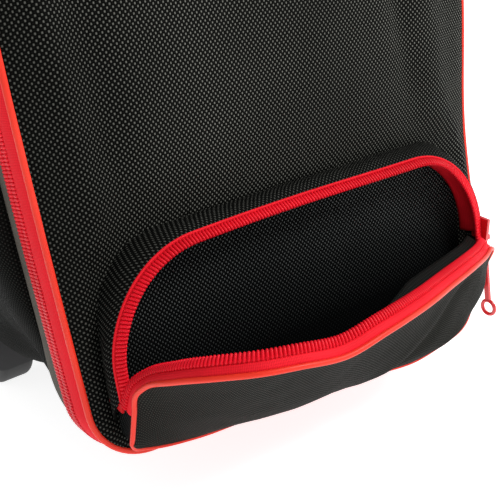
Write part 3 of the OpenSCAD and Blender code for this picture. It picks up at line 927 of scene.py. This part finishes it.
def hinge_cloth():
    """The cloth hinge along the door's right side, on which the door swings open."""
    index = np.arange(hinge_at[0] - 2, hinge_at[-1] + 3)
    depth = np.linspace(1.5, 26, 16)
    rows = edge_rows(index, [(0.8 + 0.5 * math.sin(y / 3.4), y) for y in depth])
    inner = edge_rows(index, [(-0.8, y) for y in depth[::-1]])
    piece = loft("hinge_cloth", rows + inner, BINDING, None, closed_side=True)
    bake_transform(piece)
    declare(piece, "hinge_tape")


def body_profile(y):
    """The side outline at depth y: square shouldered at the door, rounder towards the back."""
    r = DOOR_R + (BODY_R - DOOR_R) * smoothstep((y - FRAME_Y1) / 45)
    deep = 1 - 0.8 * np.clip((y - 60) / 180, 0, 1)
    r_low = (DOOR_R + (SLUMP_R - DOOR_R) * smoothstep((y - FRAME_Y0) / 42)
             - (SLUMP_R - BODY_R) * smoothstep((y - 90) / 45))
    return resample(rounded(BODY_W - 2, DOOR_Z0, DOOR_Z1, r, r_low, BULGE * deep), COUNT)


house_low, house_high = node_box("wheel_housing_right")


def in_notch(x, y, z):
    """True where a wall has to leave room for a wheel housing."""
    return abs(x) > house_low[0] + 3 and y > house_low[1] + 3 and z < house_high[2] - 3


def cut_notches(piece):
    """Removes the faces of a wall that a wheel housing takes the place of."""
    def cut(work):
        middles = [(face, face.calc_center_median()) for face in work.faces]
        gone = [face for face, c in middles
                if in_notch(c.x / MM, (c.y - FRONT_Y) / MM, c.z / MM)]
        bmesh.ops.delete(work, geom=gone, context="FACES")

    edit_mesh(piece, cut)


def padded_frame():
    """The grey band behind the zip."""
    rows = []
    for t in np.linspace(0, 1, 9):
        y = FRAME_Y0 + (FRAME_Y1 - FRAME_Y0) * t
        outline = body_profile(y)
        rows.append(ring_row(outline, outward(outline), 1.3 * hump(t) - 0.4, y))
    sheet("padded_frame", rows, GREY_BAND, "shell", 7.0, "nylon_trim", fill=0.5, offset=-1.0,
          lining=LINING, closed_row=True)


def side_walls():
    """The cloth round the bag, from the frame back to the rear piping."""
    rows, uv_rows = [], []
    for y in np.concatenate([[FRAME_Y1 - 6, FRAME_Y1], np.linspace(FRAME_Y1 + 2, BACK_Y - 7, 44),
                             [BACK_Y - 4.5, BACK_Y - 2.5]]):
        outline = body_profile(y)
        tuck = (-1.4 * math.exp(-max(y - FRAME_Y1, -2.0) / 2.5)
                - 1.6 * math.exp(-(BACK_Y - 2.5 - y) / 4))
        slack = np.array([1.1 * smooth_noise((x, y, z), 55, 1.0)
                          + 0.4 * smooth_noise((x, y, z), 20) for x, z in outline])
        slack *= math.exp(tuck) * 0.9
        rows.append(ring_row(outline, outward(outline), slack + tuck, y))
        uv_rows.append(np.stack([np.full(COUNT, y), lengths(outline, True)[:COUNT]], 1))
    cut_notches(sheet("side_walls", rows, SIDE_NYLON, "shell", 5.0, replaced="body_gusset",
                      fill=0.4, offset=-1.0, lining=LINING, closed_row=True, uv_rows=uv_rows))


def back_cloth():
    """The back: a lightly domed sheet inside the rear piping."""
    rows = []
    for inset in np.concatenate([[0, 2.0, 5.0], np.linspace(9, BODY_W / 2 - 6, 30)]):
        r = max(BODY_R - inset, 6)
        row = resample(rounded(BODY_W - 3 - 2 * inset, DOOR_Z0 + inset, DOOR_Z1 - inset, r, r,
                               BULGE * 0.2), COUNT)
        rows.append(upright(row, BACK_Y - 2.5 + 2.4 * (1 - math.exp(-inset / 5))))
    rows.append(middle_row(rows[-1], lambda z: BACK_Y - 0.1))
    piece = sheet("back_cloth", rows, SIDE_NYLON, "shell", 3.5, replaced="back_panel", fill=0.3,
                  offset=-1.0, lining=LINING, closed_row=True,
                  uv_rows=[row[:, ::2] for row in rows])
    piece.data.flip_normals()
    weld(piece)
    cut_notches(piece)


def rear_piping():
    """The cord round the back, in two lengths that end at the wheel housings."""
    loop = np.array([(x, z) for x, z in resample(body_profile(BACK_Y), COUNT)
                     if not in_notch(x, BACK_Y, z)])
    upper = loop[loop[:, 1] > house_high[2] - 4]
    gap = np.argmax(np.diff(lengths(upper, True)))
    lower = loop[(loop[:, 1] < DOOR_Z0 + 12) & (np.abs(loop[:, 0]) < house_low[0])]
    for name, run in (("rear_piping_upper", np.roll(upper, -gap - 1, 0)),
                      ("rear_piping_lower", lower[np.argsort(lower[:, 0])])):
        declare(tube(name, upright(run, BACK_Y - 1.0), 2.1, RED_PIPING, "shell"),
                "rear_piping")


hinge_cloth()
padded_frame()
side_walls()
back_cloth()
rear_piping()

# ---------------------------------------------------------------- side pockets and handles


def wall_line(y, side):
    """Half widths and heights of the bag's left or right wall at a depth, from its bottom up."""
    outline = body_profile(y) * (side, 1)
    half = outline[outline[:, 0] > 0]
    return half[np.argsort(half[:, 1])]


def side_pocket(side, replaced):
    """A gathered pocket on the side wall: bellied front, open top with a bound, elastic edge."""
    low, high = node_box(replaced)
    reach = (high[0] if side > 0 else -low[0]) - BODY_W / 2
    mid, half = (low[1] + high[1]) / 2, (high[1] - low[1]) / 2
    depths = np.linspace(low[1] - 10, high[1] + 10, 24)
    lines = [wall_line(y, side) for y in depths]
    rows, uv_rows = [], []
    for t in np.linspace(0, 1, 56):
        z = low[2] + (high[2] - low[2]) * t
        wall = [np.interp(z, line[:, 1], line[:, 0]) for line in lines]
        lower = min(1.0, t / 0.07)
        width = half * (1 - 0.035 * hump(t)) - (1 - lower ** 0.5) * 7
        belly = 0.72 + 0.28 * math.sin(math.pi * min(1.0, t * 1.15))
        swell = reach * belly * smoothstep(t / 0.5)
        row = []
        for a in np.linspace(-1, 1, 72):
            shape = max(0.0, 1 - abs(a) ** 5) ** 0.42
            gather = 0.8 * math.sin(a * 17 + 1.3 * math.sin(z / 23)) * max(0.0, t - 0.72) / 0.28
            slack = 0.9 * smooth_noise((a * 40, side * 9.0, z), 26) * shape
            x = np.interp(mid + width * a, depths, wall) - 0.8
            x += swell * shape + (gather + slack) * shape * smoothstep(t / 0.2)
            row.append((side * min(x, BODY_W / 2 + reach + 1.5), mid + width * a, z))
        rows.append(np.array(row))
        uv_rows.append([(p[1] + abs(p[0]) * 0.5, p[2]) for p in row])
    piece = sheet(replaced + "_cloth", rows, SIDE_NYLON, "shell", 1.8, replaced=replaced,
                  offset=-1.0, lining=LINING, uv_rows=uv_rows)
    if side < 0:
        piece.data.flip_normals()
    strip = [rows[-1] + (side * 1.5 * math.cos(a), 0, 3.0 * math.sin(a) + 0.8)
             for a in TURN * np.arange(10) / 10]
    binding = loft(replaced + "_cloth_binding", strip, BINDING, "shell", closed_side=True)
    declare(binding, None if side > 0 else "side_pocket_bindings")


side_pocket(1, "side_pocket_right")
side_pocket(-1, "side_pocket_left")


def strap(name, path, width, thick, material, body, crown=0.0):
    """A flat strap swept along a path in the x-z plane, width in y, with rounded edges."""
    ahead = directions(path)
    up = np.stack([-ahead[:, 2], np.zeros(len(path)), ahead[:, 0]], 1)
    rows = []
    for a in TURN * np.arange(20) / 20:
        c, s = math.cos(a), math.sin(a)
        sideways = math.copysign(abs(c) ** 0.4, c) * width / 2
        height = math.copysign(abs(s) ** 0.7, s) * (thick / 2 + crown * (1 - abs(c)))
        rows.append(path + up * height + (0.0, sideways, 0.0))
    return loft(name, rows, material, body, closed_side=True)


GRIP_HALF = 46.0                      # half length of the handle's padded wrap
GRIP_MIDDLE = at(0, 105, 477.5)       # its ends narrow towards this depth and height


def carry_handle():
    """Webbing sewn to the top, with a padded wrap where the hand goes."""
    low, high = node_box("carry_handle")
    y = (low[1] + high[1]) / 2
    foot, top = low[2] - 1.5, high[2] - 3.5
    line = [(low[0] + 14, y, foot), (low[0] + 5, y, foot + 1.2), (low[0] + 1.5, y, foot + 8),
            (low[0] + 4, y, foot + 16), (low[0] + 16, y, top - 3), (low[0] + 36, y, top),
            (0, y, top + 1.5)]
    path = smooth_path(line + [(-p[0], p[1], p[2]) for p in line[-2::-1]], 150)
    declare(strap("carry_handle_webbing", path, 28, 2.4, BINDING, "shell"),
            "carry_handle")
    grip = strap("carry_handle_grip", path[np.abs(path[:, 0]) < GRIP_HALF], 33, 6.5, SIDE_NYLON,
                 "shell", crown=1.6)
    round_ends(grip)
    declare(grip)
    patch_low, patch_high = node_box("handle_patches")
    patch_y, patch_z = (patch_low[1] + patch_high[1]) / 2, patch_low[2] + 1.2
    for side, label in ((-1, "left"), (1, "right")):
        x = side * (patch_high[0] - 17)
        line = np.linspace((x - 16, patch_y, patch_z), (x + 16, patch_y, patch_z), 24)
        patch = strap("handle_patch_" + label, line, 37, 2.2, BINDING, "shell", crown=0.4)
        declare(patch, "handle_patches" if side < 0 else None)
        stitches("handle_patch_stitches_" + label, box_stitch(x, line[0][1], patch_low[2] + 2.9),
                 "shell")


def round_ends(piece):
    """Narrows both ends of the grip's padded wrap."""
    middle = GRIP_MIDDLE
    for vertex in piece.data.vertices:
        t = min(1.0, max(0.0, (abs(vertex.co.x) / (GRIP_HALF * MM) - 0.86) / 0.14))
        vertex.co.y = middle.y + (vertex.co.y - middle.y) * (1 - 0.12 * t * t)
        vertex.co.z = middle.z + (vertex.co.z - middle.z) * (1 - 0.45 * t * t)


def box_stitch(x, y, z):
    """A sewn box with a cross in it, as a list of straight seams."""
    a, b = 12.0, 14.0
    corners = [(x - a, y - b, z), (x + a, y - b, z), (x + a, y + b, z), (x - a, y + b, z)]
    seams = [(corners[i], corners[(i + 1) % 4]) for i in range(4)]
    return seams + [(corners[0], corners[2]), (corners[1], corners[3])]


def stitches(name, seams, body, length=2.4, step=3.2, wide=0.7):
    """Sewing stitches laid along straight level seams."""
    places = []
    z_axis = np.array([0.0, 0.0, 1.0])
    for start, end in np.array(seams):
        x_axis = unit(end - start)
        for s in np.arange(step / 2, math.dist(start, end), step):
            places.append((start + s * x_axis, x_axis, np.cross(z_axis, x_axis), z_axis))
    declare(repeat(name, rib_template(length, wide, wide, sides=6, rings=4), places, THREAD,
                   body))


carry_handle()

# ---------------------------------------------------------------- materials of the CAD parts

CAD_LOOKS = (
    (BOARD, "base_board shoe_shelf front_board"),
    (FOAM, "ball_cup"),
    (STEEL, "axles foot_screws skid_rivets bezel_screws bracket_rivets wheel_bearings_left"
            " wheel_bearings_right"),
    (ALUMINIUM, "handle_bracket handle_tubes_outer handle_tubes_mid handle_tubes_inner"),
    (BLACK_PLASTIC, "wheel_housing_left wheel_housing_right front_feet back_skids handle_bezel"
                    " handle_collars handle_grip"),
    (GREY_PLASTIC, "handle_button wheel_hub_left wheel_hub_right"),
    (TYRE, "wheel_tyre_left wheel_tyre_right"),
    (RED_METAL, "zip_stops pocket_slider pocket_pull main_slider_left main_slider_right"
                " main_pull_left main_pull_right"))
for look, nodes in CAD_LOOKS:
    for node in nodes.split():
        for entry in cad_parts[node].material_slots:
            entry.material = look

# ---------------------------------------------------------------- stage and camera


def studio():
    """A pale floor, a soft world and large soft lamps."""
    reach = 6.0
    corners = [(-reach, -reach, 0), (reach, -reach, 0), (reach, reach, 0), (-reach, reach, 0)]
    pale = smooth_plastic("pale_floor", (0.72, 0.72, 0.72), (0.74, 0.74, 0.74), 0.9,
                          Specular_IOR_Level=0.0, Emission_Color=(1, 1, 1),
                          Emission_Strength=0.85)
    new_piece("floor", corners, [(0, 1, 2, 3)], None, pale, None)
    world = bpy.data.worlds.new("studio")
    world.use_nodes = True
    tree = world.node_tree
    sky = tree.nodes["Background"].inputs
    sky["Color"].default_value = (1, 1, 1, 1)
    # The world lights the bag softly, and is nearly white where the camera sees it.
    sight = tree.nodes.new("ShaderNodeLightPath")
    strength = tree.nodes.new("ShaderNodeMapRange")
    strength.inputs["To Min"].default_value, strength.inputs["To Max"].default_value = 0.5, 0.95
    tree.links.new(sight.outputs["Is Camera Ray"], strength.inputs["Value"])
    tree.links.new(strength.outputs["Result"], sky["Strength"])
    bpy.context.scene.world = world
    bpy.context.scene.view_settings.view_transform = "Standard"
    lamps = [("key", (0.75, -1.1, 1.3), 21.0, 0.6), ("side", (1.5, -0.7, 1.0), 7.0, 1.0),
             ("back", (0.3, 1.6, 1.5), 12.0, 1.2)]       # name, place, watts and size in metres
    for name, place, power, size in lamps:
        lamp = bpy.data.lights.new(name, "AREA")
        lamp.energy, lamp.size = power, size
        holder = put_in_scene(name, lamp)
        holder.location = place
        aim = Vector((0, 0, 0.15)) - holder.location
        holder.rotation_euler = aim.to_track_quat("-Z", "Y").to_euler()


def camera():
    """The photograph's view: low on the left of the door, close, a little rolled."""
    yaw, pitch, roll = math.radians(33.52), math.radians(17.93), math.radians(-8.67)
    forward = Vector((math.sin(yaw) * math.cos(pitch), math.cos(yaw) * math.cos(pitch),
                      -math.sin(pitch)))
    level = Vector((math.cos(yaw), -math.sin(yaw), 0))
    up = level.cross(forward)
    right = math.cos(roll) * level + math.sin(roll) * up
    top = -math.sin(roll) * level + math.cos(roll) * up
    data = bpy.data.cameras.new("camera")
    data.lens, data.sensor_width = 61.91, 36.0
    data.clip_start = 0.01
    holder = put_in_scene("camera", data)
    turn = Matrix((right, top, -forward)).transposed()
    holder.matrix_world = Matrix.Translation(at(-263.4, -348.6, 215.7 + DOOR_Z0)) @ turn.to_4x4()
    bpy.context.scene.camera = holder


studio()
camera()
